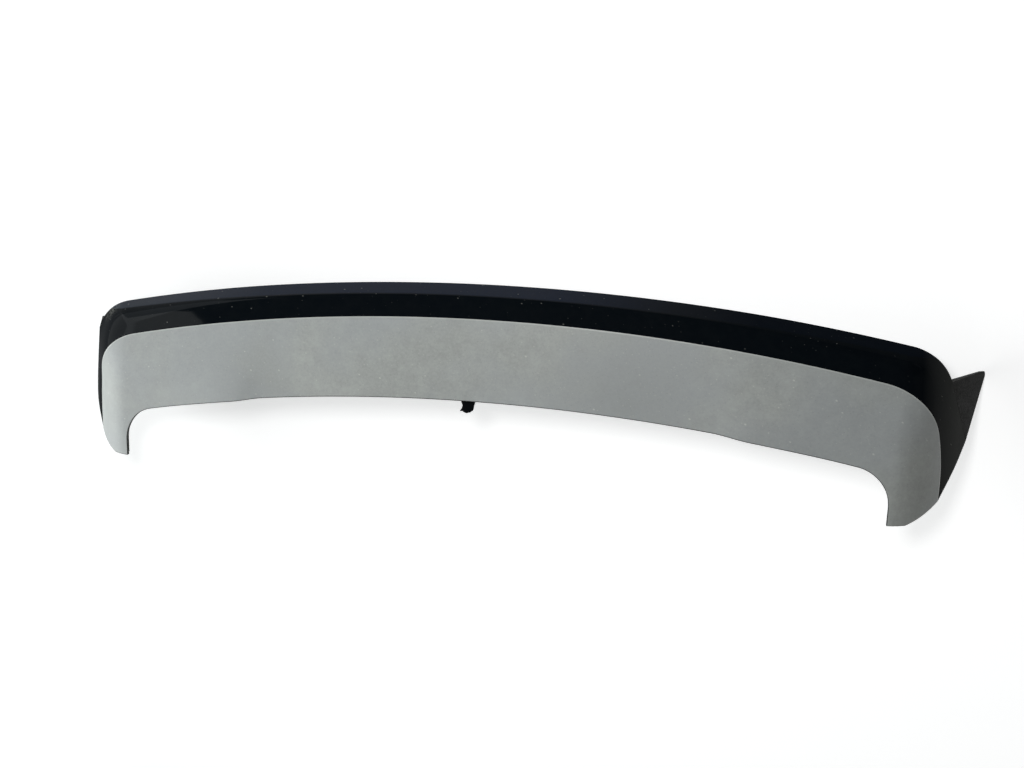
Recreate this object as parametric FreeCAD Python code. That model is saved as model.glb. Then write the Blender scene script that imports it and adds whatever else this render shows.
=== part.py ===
import FreeCAD, Part
import math
import os

V = FreeCAD.Vector

# Rear roof spoiler, as it sits on the tailgate: X across, Y rearwards, Z up, in millimetres.
# The origin lies midway between the inner studs, in the plane where the stud bosses seat.

# Top skin: a crowned shell with two horns that run forward
SKIN_HEIGHT = 37.0
SKIN_PITCH = 11.0
CHORD_RADIUS = 2600.0
CROWN_RADIUS = 6500.0
SKIN_WALL = 2.5
RETURN_DROP = 1.5
RETURN_WIDTH = 10.0

# Leading edge, with its small jog on either side of the middle
LEAD_Y = -46.5
LEAD_RADIUS = 2320.0
JOG_X = 315.0
JOG_RUN = 44.0
JOG = 2.0

# Horns
HORN_INNER_X = 504.0
HORN_WIDTH = 63.0
HORN_CORNER_R = 50.0
HORN_TIP_Y = -165.0
HORN_TIP_WIDTH = 22.0
HORN_CUT = 23.0
HORN_CUT_BULGE = 1.5
HORN_ROLL = 34.0
ROLL_START_Y = 40.0
ROLL_FULL_Y = -75.0

# Join line between the skin and the black rim
JOIN_Y = 55.4
JOIN_RADIUS = 2380.0
JOIN_CORNER_R = 90.0
SIDE_X = HORN_INNER_X + HORN_WIDTH
SIDE_REACH = 10.5
SIDE_LEAN = 14.0
SIDE_TURN = 12.0

# Lower edge of the rim: rear wall, corner and cheek
EDGE_Y = 88.0
EDGE_RADIUS = 2725.0
EDGE_CORNER_R = 60.0
EDGE_DROP = 45.0
CORNER_DROP = 36.0
CHEEK_DROP = 70.0
CHEEK_WIDTH = 31.5
CHEEK_FRONT_X = SIDE_X + CHEEK_WIDTH
CHEEK_FRONT_Y = -83.5
CHEEK_LEAN = 20.0

# Rim section: lip, crease, wall and the flange under the skin
RIM_WALL = 3.0
LIP_REACH = 0.8
LIP_FALL = 0.28
CHEEK_REACH = 0.56
CHEEK_FALL = 0.44
CHEEK_BLEND_START = 0.75
CORNER_LIFT_START = 0.6
CORNER_LIFT_RUN = 0.8
ROOM_BLEND_START = 1.5
ROOM_BLEND_RUN = 0.5
JOIN_GAP = 0.4
JOIN_SINK = 0.3
FLANGE_WIDTH = 12.0
FLANGE_WALL = 2.5

# Lower shell, which falls away from the skin behind the leading edge
SHELL_WALL = 2.5
SHELL_INSET = 2.0
SHELL_LAND = 16.0
SHELL_FALL = 0.30
SHELL_SOFTNESS = 30.0
RIB_COUNT = 12
RIB_SPAN = 880.0
RIB_WALL = 2.0
RIB_DEPTH = 7.0
RIB_FRONT = 34.0
RIB_BACK = 10.0

# Studs, their bosses and foam pads
STUD_XS = (-390.0, -130.0, 130.0, 390.0)
STUD_R = 3.0
STUD_LENGTH = 22.0
STUD_TIP = 1.0
NECK_R = 3.8
HEAD_WIDTH = 14.0
HEAD_WALL = 2.0
BOSS_WALL = 3.0
BOSS_FLOOR = 3.0
GASKET_WIDTH = 28.0
GASKET_HOLE_R = 8.0
GASKET_WALL = 4.0

# Side fins
FIN_SPREAD = 28.5
FIN_TIP_X = CHEEK_FRONT_X + FIN_SPREAD
FIN_TIP_Y = -12.0
FIN_TIP_Z = -117.0
FIN_TOP_WALL = 13.0
FIN_TIP_WALL = 5.0
FIN_TIP_R = 4.5
FIN_HOLLOW_R = 2.0
FIN_SKIN = 2.5
FIN_RIBS = 3
TONGUE_WALL = 2.4
TONGUE_RISE = 17.0
TONGUE_ROOT = 5.0
TONGUE_START = 2.12
TONGUE_END = 2.88

# Fin screws
SCREW_STATIONS = (2.3, 2.7)
SCREW_RISE = 11.0
SCREW_R = 1.75
SCREW_BITE = 1.6
SCREW_HEAD_R = 5.0
SCREW_HEAD_WALL = 2.0
SCREW_BOSS_R = 3.8

# Foam strip under the leading edge
SEAL_WIDTH = 9.0
SEAL_HEIGHT = 7.0
SEAL_SETBACK = 4.0
SEAL_GAP = 3.0
SEAL_GLUE = 0.4

# Broken locating tab at the leading edge; its broken end by share of the width and rise
CLIP_X = -12.5
CLIP_WIDTH = 19.0
CLIP_REACH = 18.5
CLIP_WALL = 3.2
CLIP_ROOT = 22.0
CLIP_BREAK = ((-0.5, 15.5), (-0.37, 9.5), (-0.42, 6.0), (-0.56, 2.2), (-0.34, 2.4), (-0.26, 1.2),
              (-0.08, 0.0), (0.2, 1.6), (0.39, 4.4), (0.43, 10.0), (0.5, 14.5))

# Fits
GLUE = 0.3
CLEARANCE = 0.3
TONGUE_GAP = 0.5
SEAM_GAP = 0.5
FIN_ROOM = 7.0

# Reach of the layers and prisms that pieces are cut from
LAYER_MARGIN = 40.0
SPAN_LIMIT = CHEEK_FRONT_X + LAYER_MARGIN
FRONT_LIMIT = HORN_TIP_Y - LAYER_MARGIN
REAR_LIMIT = EDGE_Y + LAYER_MARGIN
TALL = 300.0

# Steps along the rear wall, corners and cheeks of the rim
SIDE_STEPS = 5
CORNER_STEPS = 9
REAR_STEPS = 12
STATION_STEP = 0.01

# Steps of the other curves and grids
LEAD_STEPS = 30
RIB_STEPS = 4
SEAL_STEPS = 20
SEAL_ROUND_STEPS = 6
TONGUE_STEPS = 2
CLIP_STEPS = 4
HALVINGS = 24
MIDDLE_COLUMNS = 8
HORN_COLUMNS = 6
HORN_ROWS = 6
ROLL_ROWS = 7
REAR_ROWS = 4


def crown_z(x, y):
    """Height of the crowned top face, before the horns roll over."""
    fall = math.tan(math.radians(SKIN_PITCH)) * y + y * y / (2 * CHORD_RADIUS)
    return SKIN_HEIGHT - fall - x * x / (2 * CROWN_RADIUS)


def skin_z(x, y):
    """Height of the skin's top face, which rolls down towards the outer side of each horn."""
    across = max(0.0, (abs(x) - HORN_INNER_X) / (SIDE_X - HORN_INNER_X))
    forward = smooth_step((y - ROLL_START_Y) / (ROLL_FULL_Y - ROLL_START_Y))
    return crown_z(x, y) - HORN_ROLL * forward * across * across


def smooth_step(value):
    """Share that runs from 0 to 1 with level ends."""
    value = min(1.0, max(0.0, value))
    return value * value * (3 - 2 * value)


def spread(low, high, count):
    """Evenly spaced values from the first up to but not including the last."""
    return [low + (high - low) * i / count for i in range(count)]


def grid_columns():
    """Abscissas of a grid, closer together over the horns."""
    right = spread(0, HORN_INNER_X, MIDDLE_COLUMNS) + spread(HORN_INNER_X, SPAN_LIMIT, HORN_COLUMNS)
    right.append(SPAN_LIMIT)
    return [-x for x in reversed(right[1:])] + right


def grid_rows():
    """Ordinates of a grid, closer together where the roll dies out and the lower shell bends."""
    rows = spread(FRONT_LIMIT, ROLL_FULL_Y, HORN_ROWS) + spread(ROLL_FULL_Y, ROLL_START_Y, ROLL_ROWS)
    return rows + spread(ROLL_START_Y, REAR_LIMIT, REAR_ROWS) + [REAR_LIMIT]


def surface(height):
    """Face through the heights of a grid that covers the whole plan."""
    patch = Part.BSplineSurface()
    patch.interpolate([[V(x, y, height(x, y)) for y in grid_rows()] for x in grid_columns()])
    return patch.toShape()


def skin_slab(top, bottom):
    """Layer under the skin's top face, between two depths."""
    face = surface(lambda x, y: skin_z(x, y) - top)
    return face.extrude(V(0, 0, top - bottom))


def arc(a, b, c):
    return Part.Arc(a, b, c).toShape()


def line(a, b):
    return Part.makeLine(a, b)


def circle_y(x, crest, radius):
    """Ordinate of a circular arc that crests on the centre line."""
    return crest - radius + math.sqrt(radius * radius - x * x)


class EdgePath:
    """Plan of one edge, right half: crested rear arc, tangent corner arc, side that may turn in.

    Stations run 0 to 1 along the rear arc, to 2 round the corner and to 3 along the side.
    """

    def __init__(self, crest, radius, corner_r, side, lean, end_y, turn=0.0):
        self.radius = radius
        self.turn_in = turn
        self.centre = V(0, crest - radius, 0)
        self.corner_r = corner_r
        ahead = V(math.sin(math.radians(lean)), -math.cos(math.radians(lean)), 0)
        outward = V(-ahead.y, ahead.x, 0)
        self.outward = outward
        near = side - outward * corner_r - self.centre
        along = near.dot(ahead)
        reach = (radius - corner_r) ** 2 - (near.dot(near) - along * along)
        self.corner = self.centre + near - ahead * (along + math.sqrt(reach))
        spoke = self.corner - self.centre
        self.turn = math.atan2(spoke.x, spoke.y)
        self.sweep = math.atan2(outward.x, outward.y)
        self.side_start = self.corner + outward * corner_r
        self.side_end = self.side_start + ahead * ((end_y - self.side_start.y) / ahead.y)

    def at(self, station):
        if station <= 1:
            angle = self.turn * station
            return self.centre + V(math.sin(angle), math.cos(angle), 0) * self.radius
        if station <= 2:
            angle = self.turn + (self.sweep - self.turn) * (station - 1)
            return self.corner + V(math.sin(angle), math.cos(angle), 0) * self.corner_r
        share = station - 2
        ahead = self.side_start + (self.side_end - self.side_start) * share
        return ahead - self.outward * (self.turn_in * share * share)

    def side_edge(self, front):
        """Edge of the side, from a front end that may differ from its own."""
        if self.turn_in:
            return arc(front, self.at(2.5), self.at(2))
        return line(front, self.at(2))

    def edges(self):
        """Edges from the front of the right side round to the front of the left side."""
        right = [self.side_edge(self.at(3)), arc(self.at(2), self.at(1.5), self.at(1))]
        rear = arc(self.at(1), self.at(0), flip(self.at(1)))
        return right + [rear] + [mirrored(edge) for edge in reversed(right)]


def flip(point):
    return V(-point.x, point.y, point.z)


def mirrored(shape):
    return shape.mirror(V(0, 0, 0), V(1, 0, 0))


def join_path(outset=0.0):
    side = V(SIDE_X + SIDE_REACH + outset, HORN_TIP_Y + HORN_CUT, 0)
    return EdgePath(JOIN_Y + outset, JOIN_RADIUS, JOIN_CORNER_R, side, SIDE_LEAN, side.y, SIDE_TURN)


def lower_path():
    side = V(CHEEK_FRONT_X, CHEEK_FRONT_Y, 0)
    return EdgePath(EDGE_Y, EDGE_RADIUS, EDGE_CORNER_R, side, CHEEK_LEAN, CHEEK_FRONT_Y)


JOIN = join_path()
EDGE = lower_path()


def lead_y(x):
    """Ordinate of the leading edge, jogs included."""
    jog = JOG * smooth_step((abs(x) - JOG_X) / JOG_RUN + 0.5)
    return circle_y(x, LEAD_Y, LEAD_RADIUS) - jog


def lead_edges(inset):
    """Leading edge with the inner corners and inner sides of both horns, right to left."""
    inner = HORN_INNER_X + inset
    tip = HORN_TIP_Y + inset
    bend = EdgePath(LEAD_Y - JOG + inset, LEAD_RADIUS, HORN_CORNER_R, V(inner, tip, 0), 0, tip)
    reach = bend.at(1).x
    xs = spread(reach, -reach, LEAD_STEPS) + [-reach]
    points = [V(x, lead_y(x) + inset, 0) for x in xs]
    curve = Part.BSplineCurve()
    curve.interpolate(points)
    right = [line(bend.at(3), bend.at(2)), arc(bend.at(2), bend.at(1.5), bend.at(1))]
    return right + [curve.toShape()] + [mirrored(edge) for edge in reversed(right)]


def horn_cut(inset, side_end):
    """Tip and slanted outer cut of the right horn."""
    tip = V(HORN_INNER_X + inset, HORN_TIP_Y + inset, 0)
    start = V(HORN_INNER_X + HORN_TIP_WIDTH, HORN_TIP_Y + inset, 0)
    middle = (start + side_end) * 0.5
    away = (side_end - start).cross(V(0, 0, 1)).normalize()
    return [line(tip, start), arc(start, middle + away * HORN_CUT_BULGE, side_end)]


def plan_prism(inset=0.0, outset=0.0):
    """Upright prism of the skin's plan, its front moved in and its rear moved out."""
    path = join_path(outset)
    side_end = path.at(3) + V(0, inset, 0)
    cut = horn_cut(inset, side_end)
    rear = path.edges()
    if inset:
        rear[0] = path.side_edge(side_end)
        rear[-1] = mirrored(rear[0])
    edges = lead_edges(inset) + cut + rear + [mirrored(edge) for edge in cut]
    return prism(edges)


def prism(edges):
    """Tall upright prism of a closed plan."""
    face = Part.Face(Part.Wire(Part.__sortEdges__(edges)))
    face.translate(V(0, 0, -TALL))
    return face.extrude(V(0, 0, 2 * TALL))


def upper_skin():
    """Painted shell, with a return under its front edge and horns."""
    plan = plan_prism()
    shell = skin_slab(0, SKIN_WALL).common(plan)
    rim = skin_slab(SKIN_WALL, SKIN_WALL + RETURN_DROP).common(plan)
    rim = rim.cut(plan_prism(RETURN_WIDTH, 4 * RETURN_WIDTH))
    return shell.fuse(rim).removeSplitter()


class RimStation:
    """The rim at one station: join, crease and foot of its outside, and the layers inside it."""

    def __init__(self, station):
        self.join, self.crease, self.foot = rim_lines(station)
        self.sideways = smooth_step((station - ROOM_BLEND_START) / ROOM_BLEND_RUN)
        before = rim_lines(max(0, station - STATION_STEP))
        after = rim_lines(min(3, station + STATION_STEP))
        self.edge_out = (after[0] - before[0]).cross(V(0, 0, -1))
        self.edge_out.z = 0
        self.edge_out.normalize()
        along = after[1] - before[1]
        self.lip = (self.crease - self.join).normalize()
        self.fall = (self.foot - self.crease).normalize()
        self.lip_out = along.cross(self.lip).normalize()
        self.fall_out = along.cross(self.fall).normalize()

    def layer(self, reach, depth):
        """Point at a distance outside the join line, at a depth under the skin's top face."""
        place = self.join + self.edge_out * reach
        place.z = skin_z(place.x, place.y) - depth
        return place

    def inner(self, wall):
        """Inside of the lip and wall, a wall's thickness in: top, crease and foot."""
        both = self.lip_out + self.fall_out
        middle = self.crease - both * (wall / (1 + self.lip_out.dot(self.fall_out)))
        foot = self.foot - self.fall_out * wall
        foot = foot + self.fall * ((self.foot.z - foot.z) / self.fall.z)
        top = self.layer(0, SKIN_WALL + GLUE + FLANGE_WALL)
        return top, middle, foot

    def section(self):
        """Closed cut: flange, step up to the join, lip, wall and their inside."""
        depth = SKIN_WALL + GLUE
        flange = [self.layer(-FLANGE_WIDTH, depth), self.layer(JOIN_GAP, depth)]
        outer = [self.layer(JOIN_GAP, JOIN_SINK), self.crease, self.foot]
        inner = list(reversed(self.inner(RIM_WALL)))
        return flange + outer + inner + [self.layer(-FLANGE_WIDTH, depth + FLANGE_WALL)]

    def shell_edge(self):
        """Plan point where the lower shell's top face comes up to the inside of the rim."""
        top, middle, foot = self.inner(RIM_WALL + CLEARANCE + FIN_ROOM * self.sideways)
        upper, lower = (top, middle) if clear_height(middle) < 0 else (middle, foot)
        for _ in range(HALVINGS):
            half = (upper + lower) * 0.5
            if clear_height(half) > 0:
                upper = half
            else:
                lower = half
        return V(upper.x, upper.y, 0)

    def tongue(self):
        """Closed cut of a fin's tongue, which lies on the inside of the cheek."""
        foot = self.inner(RIM_WALL + TONGUE_GAP)[2]
        top = foot - self.fall * TONGUE_RISE
        root = foot + self.fall * TONGUE_ROOT
        inward = self.fall_out * -TONGUE_WALL
        return [top, root, root + inward, top + inward]

    def screw_seat(self):
        """Point on the inside of the cheek for a fin screw, and the way inwards."""
        foot = self.inner(RIM_WALL)[2]
        return foot - self.fall * SCREW_RISE, self.fall_out * -1


def clear_height(place):
    """Height of a point over the lower shell's top face."""
    return place.z - skin_z(place.x, place.y) + shell_depth(place.x, place.y)


def rim_lines(station):
    """Join, crease and foot of the rim's outside at one station."""
    join = JOIN.at(station)
    foot = EDGE.at(station)
    join.z = skin_z(join.x, join.y)
    lift = smooth_step((station - CORNER_LIFT_START) / CORNER_LIFT_RUN)
    drop = EDGE_DROP + (CORNER_DROP - EDGE_DROP) * lift
    drop += (CHEEK_DROP - CORNER_DROP) * max(0, station - 2)
    foot.z = crown_z(foot.x, foot.y) - drop
    blend = smooth_step(station - CHEEK_BLEND_START)
    reach = LIP_REACH + (CHEEK_REACH - LIP_REACH) * blend
    fall = LIP_FALL + (CHEEK_FALL - LIP_FALL) * blend
    crease = join + (foot - join) * reach
    crease.z = join.z + (foot.z - join.z) * fall
    return join, crease, foot


def ring(points):
    return Part.makePolygon(points + points[:1])


def rim_stations():
    """Stations of the right half, from the front of the cheek to the centre line."""
    counts = ((2, SIDE_STEPS), (1, CORNER_STEPS), (0, REAR_STEPS))
    return [3.0] + [low + 1 - (i + 1) / count for low, count in counts for i in range(count)]


def sweep(cuts):
    """Solid through closed cuts that all have the same number of points."""
    spine = [0.0]
    for before, after in zip(cuts, cuts[1:]):
        gaps = [(b - a).Length for a, b in zip(before, after)]
        spine.append(spine[-1] + sum(gaps) / len(gaps))
    curves = []
    for place in range(len(cuts[0])):
        curve = Part.BSplineCurve()
        curve.interpolate(Points=[cut[place] for cut in cuts], Parameters=spine)
        curves.append(curve.toShape())
    faces = []
    for one, two in zip(curves, curves[1:] + curves[:1]):
        faces.append(Part.makeRuledSurface(one, two))
    for cut in (cuts[0], cuts[-1]):
        faces += end_cap(cut)
    shell = Part.makeShell(faces)
    shell.sewShape()
    solid = Part.Solid(shell)
    if solid.Volume < 0:
        solid.reverse()
    return solid


def end_cap(cut):
    """Faces that close one end, as strips between the two sides of the cut."""
    faces = []
    low, high = 0, len(cut) - 1
    while high - low > 1:
        near = line(cut[low], cut[low + 1])
        if high - low == 2:
            faces.append(Part.Face(ring([cut[low], cut[low + 1], cut[high]])))
        else:
            faces.append(Part.makeRuledSurface(near, line(cut[high], cut[high - 1])))
        low += 1
        high -= 1
    return faces


def whole_rim(cut):
    """Cuts from the right cheek round the rear to the left cheek."""
    right = [cut(RimStation(station)) for station in rim_stations()]
    return right + [[flip(p) for p in points] for points in reversed(right[:-1])]


def upright(place, way, radius, length):
    return Part.makeCylinder(radius, length, place, way)


def trailing_rim():
    """Lip, rear wall and cheeks in one moulding, with the bosses for the fin screws."""
    rim = sweep(whole_rim(RimStation.section))
    bosses = []
    for station in SCREW_STATIONS:
        place, way = RimStation(station).screw_seat()
        length = SCREW_BITE + 2 * TONGUE_GAP + TONGUE_WALL
        start = place - way * SCREW_BITE
        bosses.append((upright(start, way, SCREW_BOSS_R, length), upright(start, way, SCREW_R, 2 * length)))
    for boss, hole in bosses:
        rim = rim.fuse([boss, mirrored(boss)]).cut([hole, mirrored(hole)])
    return rim


def shell_depth(x, y):
    """Depth of the lower shell's top face under the skin's top face."""
    run = y - circle_y(x, LEAD_Y - JOG, LEAD_RADIUS) - SHELL_LAND
    fall = SHELL_FALL * (run + math.hypot(run, SHELL_SOFTNESS)) / 2
    return SKIN_WALL + RETURN_DROP + GLUE + fall


def shell_under(x, y):
    """Height of the lower shell's underside."""
    return skin_z(x, y) - shell_depth(x, y) - SHELL_WALL


def shell_slab(top, bottom):
    """Layer between two depths under the lower shell's top face."""
    face = surface(lambda x, y: skin_z(x, y) - shell_depth(x, y) - top)
    return face.extrude(V(0, 0, top - bottom))


def stud_places():
    """Stud seats, in a row that follows the leading edge, the inner pair level with the origin."""
    inner = min(abs(x) for x in STUD_XS)
    crest = -circle_y(inner, 0, LEAD_RADIUS)
    return [V(x, circle_y(x, crest, LEAD_RADIUS), 0) for x in STUD_XS]


def shell_plan():
    """Upright prism of the room inside the rim and behind the skin's front edges."""
    rear = [points[0] for points in whole_rim(lambda cut: [cut.shell_edge()])]
    curve = Part.BSplineCurve()
    curve.interpolate(rear)
    cut = horn_cut(SHELL_INSET, rear[0])
    edges = lead_edges(SHELL_INSET) + cut + [curve.toShape()] + [mirrored(edge) for edge in cut]
    return prism(edges)


def rib(x):
    """Upright plate under the lower shell that fades out at both ends."""
    front = lead_y(x) + RIB_FRONT
    back = circle_y(x, EDGE_Y, EDGE_RADIUS) - RIB_BACK
    top = []
    low = []
    for y in spread(front, back, RIB_STEPS) + [back]:
        base = shell_under(x, y)
        depth = 0 if y in (front, back) else RIB_DEPTH
        top.append(V(x - RIB_WALL / 2, y, base + SHELL_WALL / 2))
        low.append(V(x - RIB_WALL / 2, y, base - depth))
    return Part.Face(ring(top + low[::-1])).extrude(V(RIB_WALL, 0, 0))


def lower_shell():
    """Closing panel with fore-and-aft ribs under it and a hollow boss at each stud."""
    plan = shell_plan()
    shell = shell_slab(0, SHELL_WALL).common(plan)
    xs = [-RIB_SPAN / 2 + RIB_SPAN * i / (RIB_COUNT - 1) for i in range(RIB_COUNT)]
    shell = shell.fuse([rib(x) for x in xs])
    under = shell_slab(0, TALL)
    for place in stud_places():
        room = HEAD_WIDTH + 2 * CLEARANCE
        boss = block(place, room + 2 * BOSS_WALL, 2 * SKIN_HEIGHT).common(under)
        hollow = block(place + V(0, 0, BOSS_FLOOR), room, 2 * SKIN_HEIGHT)
        hole = upright(place, V(0, 0, 1), NECK_R + CLEARANCE, BOSS_FLOOR)
        shell = shell.fuse(boss).cut([hollow, hole])
    return shell


def block(place, width, height):
    """Upright square block that stands on a point."""
    return Part.makeBox(width, width, height, place - V(width / 2, width / 2, 0))


def stud(place):
    """Stud with a square head on the floor of its boss and a neck that fills the floor's hole."""
    head = block(place + V(0, 0, BOSS_FLOOR), HEAD_WIDTH, HEAD_WALL)
    neck = upright(place, V(0, 0, 1), NECK_R, BOSS_FLOOR)
    shank = upright(place - V(0, 0, STUD_LENGTH), V(0, 0, 1), STUD_R, STUD_LENGTH)
    end = [edge for edge in shank.Edges if edge.BoundBox.ZMax < place.z - STUD_LENGTH + STUD_TIP]
    return head.fuse([neck, shank.makeChamfer(STUD_TIP, end)])


def stud_gasket(place):
    """Square foam pad under a boss, with a hole round the stud."""
    low = place - V(0, 0, GASKET_WALL)
    pad = block(low, GASKET_WIDTH, GASKET_WALL)
    return pad.cut(upright(low, V(0, 0, 1), GASKET_HOLE_R, GASKET_WALL))


def three_sided(rear, front, tip, radius):
    """Closed flat outline of three straight sides with a round at the tip."""
    to_rear = (rear - tip).normalize()
    to_front = (front - tip).normalize()
    half = to_rear.getAngle(to_front) / 2
    cut_back = radius / math.tan(half)
    middle = (to_rear + to_front).normalize() * (radius / math.sin(half) - radius)
    start = tip + to_front * cut_back
    end = tip + to_rear * cut_back
    sides = [line(front, start), arc(start, tip + middle, end), line(end, rear)]
    return Part.Wire([line(rear, front)] + sides)


def inset(corners, margin):
    """Three corners moved in so that every side comes in by the same margin."""
    a, b, c = corners
    sides = [(b - c).Length, (c - a).Length, (a - b).Length]
    around = sum(sides)
    centre = (a * sides[0] + b * sides[1] + c * sides[2]) * (1 / around)
    inradius = (b - a).cross(c - a).Length / around
    return [centre + (p - centre) * (1 - margin / inradius) for p in corners]


def fin_ribs(rear, front, tip, inward):
    """Plates across the hollow, from the seam down."""
    along = (front - rear).normalize()
    ribs = []
    for i in range(FIN_RIBS):
        place = rear + (front - rear) * ((i + 1) / (FIN_RIBS + 1)) - along * (FIN_SKIN / 2)
        side = inward * (4 * FIN_TOP_WALL)
        down = (tip - (rear + front) * 0.5) * 2
        top = place - down * 0.5
        plate = Part.Face(ring([top - side, top + side, place + side + down, place - side + down]))
        ribs.append(plate.extrude(along * FIN_SKIN))
    return ribs


def side_fin():
    """Right fin: tapering blade, ribbed hollow on its inner side, tongue behind the cheek."""
    seam = [RimStation(station).foot - V(0, 0, SEAM_GAP) for station in (2, 3)]
    inward = (RimStation(2).edge_out + RimStation(3).edge_out).normalize() * -1
    outer = seam + [V(FIN_TIP_X, FIN_TIP_Y, FIN_TIP_Z)]
    walls = (FIN_TOP_WALL, FIN_TOP_WALL, FIN_TIP_WALL)
    inner = [corner + inward * wall for corner, wall in zip(outer, walls)]
    blade = Part.makeLoft([three_sided(*face, FIN_TIP_R) for face in (outer, inner)], True, True)
    hollow = []
    for face in (outer, inner):
        corners = inset([corner + inward * FIN_SKIN for corner in face], FIN_SKIN)
        hollow.append(three_sided(*corners, FIN_HOLLOW_R))
    hollow = Part.makeLoft(hollow, True, True)
    blade = blade.cut(hollow.cut(fin_ribs(*outer, inward)))
    stations = spread(TONGUE_START, TONGUE_END, TONGUE_STEPS) + [TONGUE_END]
    tongue = sweep([RimStation(station).tongue() for station in stations])
    for station in SCREW_STATIONS:
        place, way = RimStation(station).screw_seat()
        reach = TONGUE_GAP + TONGUE_WALL
        tongue = tongue.cut(upright(place - way * reach, way, SCREW_BOSS_R + CLEARANCE, 3 * reach))
    return blade.fuse(tongue)


def fin_screw(station):
    """Six-sided screw that holds a fin's tongue to the cheek."""
    place, way = RimStation(station).screw_seat()
    seat = place + way * (2 * TONGUE_GAP + TONGUE_WALL)
    across = way.cross(V(0, 0, 1)).normalize()
    upward = way.cross(across)
    corners = []
    for i in range(6):
        angle = math.pi * i / 3
        corners.append(seat + (across * math.cos(angle) + upward * math.sin(angle)) * SCREW_HEAD_R)
    head = Part.Face(ring(corners)).extrude(way * SCREW_HEAD_WALL)
    shank = upright(place - way * SCREW_BITE, way, SCREW_R, SCREW_BITE + (seat - place).Length)
    return head.fuse(shank).removeSplitter()


def seal_cut(x):
    """Half-round cut of the foam strip, seated under the lower shell."""
    front = lead_y(x) + SEAL_SETBACK
    points = []
    for angle in spread(0, math.pi, SEAL_ROUND_STEPS) + [math.pi]:
        y = front + SEAL_WIDTH / 2 * (1 + math.cos(angle))
        top = shell_under(x, y) - SEAL_GLUE
        points.append(V(x, y, top - SEAL_HEIGHT * math.sin(angle)))
    return points


def leading_seal(start, end):
    """Foam strip along one stretch of the leading edge."""
    return sweep([seal_cut(x) for x in spread(start, end, SEAL_STEPS) + [end]])


def centre_clip():
    """Locating tab at the leading edge, broken off short with a ragged end."""
    front = lead_y(CLIP_X)
    half = V(CLIP_WIDTH / 2, 0, 0)
    root = V(CLIP_X, front + CLIP_ROOT, 0)
    broken = [V(CLIP_X + CLIP_WIDTH * across, front - CLIP_REACH + rise, 0) for across, rise in CLIP_BREAK]
    outline = [root - half] + broken + [root + half]
    bar = prism(ring(outline).Edges)
    return bar.common(clip_layer(root.y, front - CLIP_REACH))


def clip_layer(root_y, tip_y):
    """Bent strip that follows the underside of the lower shell along the middle of the tab."""
    start = CLIP_X - CLIP_WIDTH
    sides = []
    for depth in (GLUE, GLUE + CLIP_WALL):
        ys = spread(root_y, tip_y, CLIP_STEPS) + [tip_y]
        curve = Part.BSplineCurve()
        curve.interpolate([V(start, y, shell_under(CLIP_X, y) - depth) for y in ys])
        sides.append(curve.toShape())
    return Part.makeRuledSurface(*sides).extrude(V(2 * CLIP_WIDTH, 0, 0))


def write(name, shape):
    shape.exportStep("parts/" + name + ".step")


def main():
    os.makedirs("parts", exist_ok=True)
    write("upper_skin", upper_skin())
    write("trailing_rim", trailing_rim())
    write("lower_shell", lower_shell())
    fin = side_fin()
    write("side_fin_right", fin)
    write("side_fin_left", mirrored(fin))
    for number, station in enumerate(SCREW_STATIONS, 1):
        screw = fin_screw(station)
        write("fin_screw_right_%d" % number, screw)
        write("fin_screw_left_%d" % number, mirrored(screw))
    for number, place in enumerate(stud_places(), 1):
        write("stud_%d" % number, stud(place))
        write("stud_gasket_%d" % number, stud_gasket(place))
    side = HORN_INNER_X - HORN_CORNER_R
    room = CLIP_WIDTH / 2 + SEAL_GAP
    write("leading_seal_right", leading_seal(CLIP_X + room, side))
    write("leading_seal_left", leading_seal(-side, CLIP_X - room))
    write("centre_clip", centre_clip())


main()
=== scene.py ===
import math

import bpy
from bpy.props import FloatProperty, FloatVectorProperty, PointerProperty
from mathutils import Matrix, Vector


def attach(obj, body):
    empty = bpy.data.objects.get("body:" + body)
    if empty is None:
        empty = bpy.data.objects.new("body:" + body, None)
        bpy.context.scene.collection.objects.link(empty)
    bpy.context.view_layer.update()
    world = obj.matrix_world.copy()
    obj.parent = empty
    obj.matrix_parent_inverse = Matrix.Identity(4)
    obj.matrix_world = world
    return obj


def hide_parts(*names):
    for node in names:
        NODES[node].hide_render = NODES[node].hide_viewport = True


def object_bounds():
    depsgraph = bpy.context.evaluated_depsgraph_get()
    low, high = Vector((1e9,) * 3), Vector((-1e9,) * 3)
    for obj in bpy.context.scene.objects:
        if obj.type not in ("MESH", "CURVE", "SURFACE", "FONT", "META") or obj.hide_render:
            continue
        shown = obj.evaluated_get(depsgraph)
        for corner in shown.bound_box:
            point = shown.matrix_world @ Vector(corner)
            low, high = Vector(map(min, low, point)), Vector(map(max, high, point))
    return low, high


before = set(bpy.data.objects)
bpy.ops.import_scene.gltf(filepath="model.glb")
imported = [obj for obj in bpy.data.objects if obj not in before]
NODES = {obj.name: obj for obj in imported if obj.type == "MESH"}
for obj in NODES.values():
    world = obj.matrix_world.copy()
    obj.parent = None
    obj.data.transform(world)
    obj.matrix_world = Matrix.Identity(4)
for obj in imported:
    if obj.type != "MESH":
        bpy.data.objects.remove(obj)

CAD_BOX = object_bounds()

bl_info = {
    "name": "Rear roof spoiler",
    "version": (1, 0, 0),
    "blender": (4, 5, 0),
    "location": "View3D > Sidebar > Spoiler",
    "description": "Dresses a rear roof spoiler: painted skin, gloss black rim, textured fins and fixings",
    "category": "Object",
}

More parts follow.
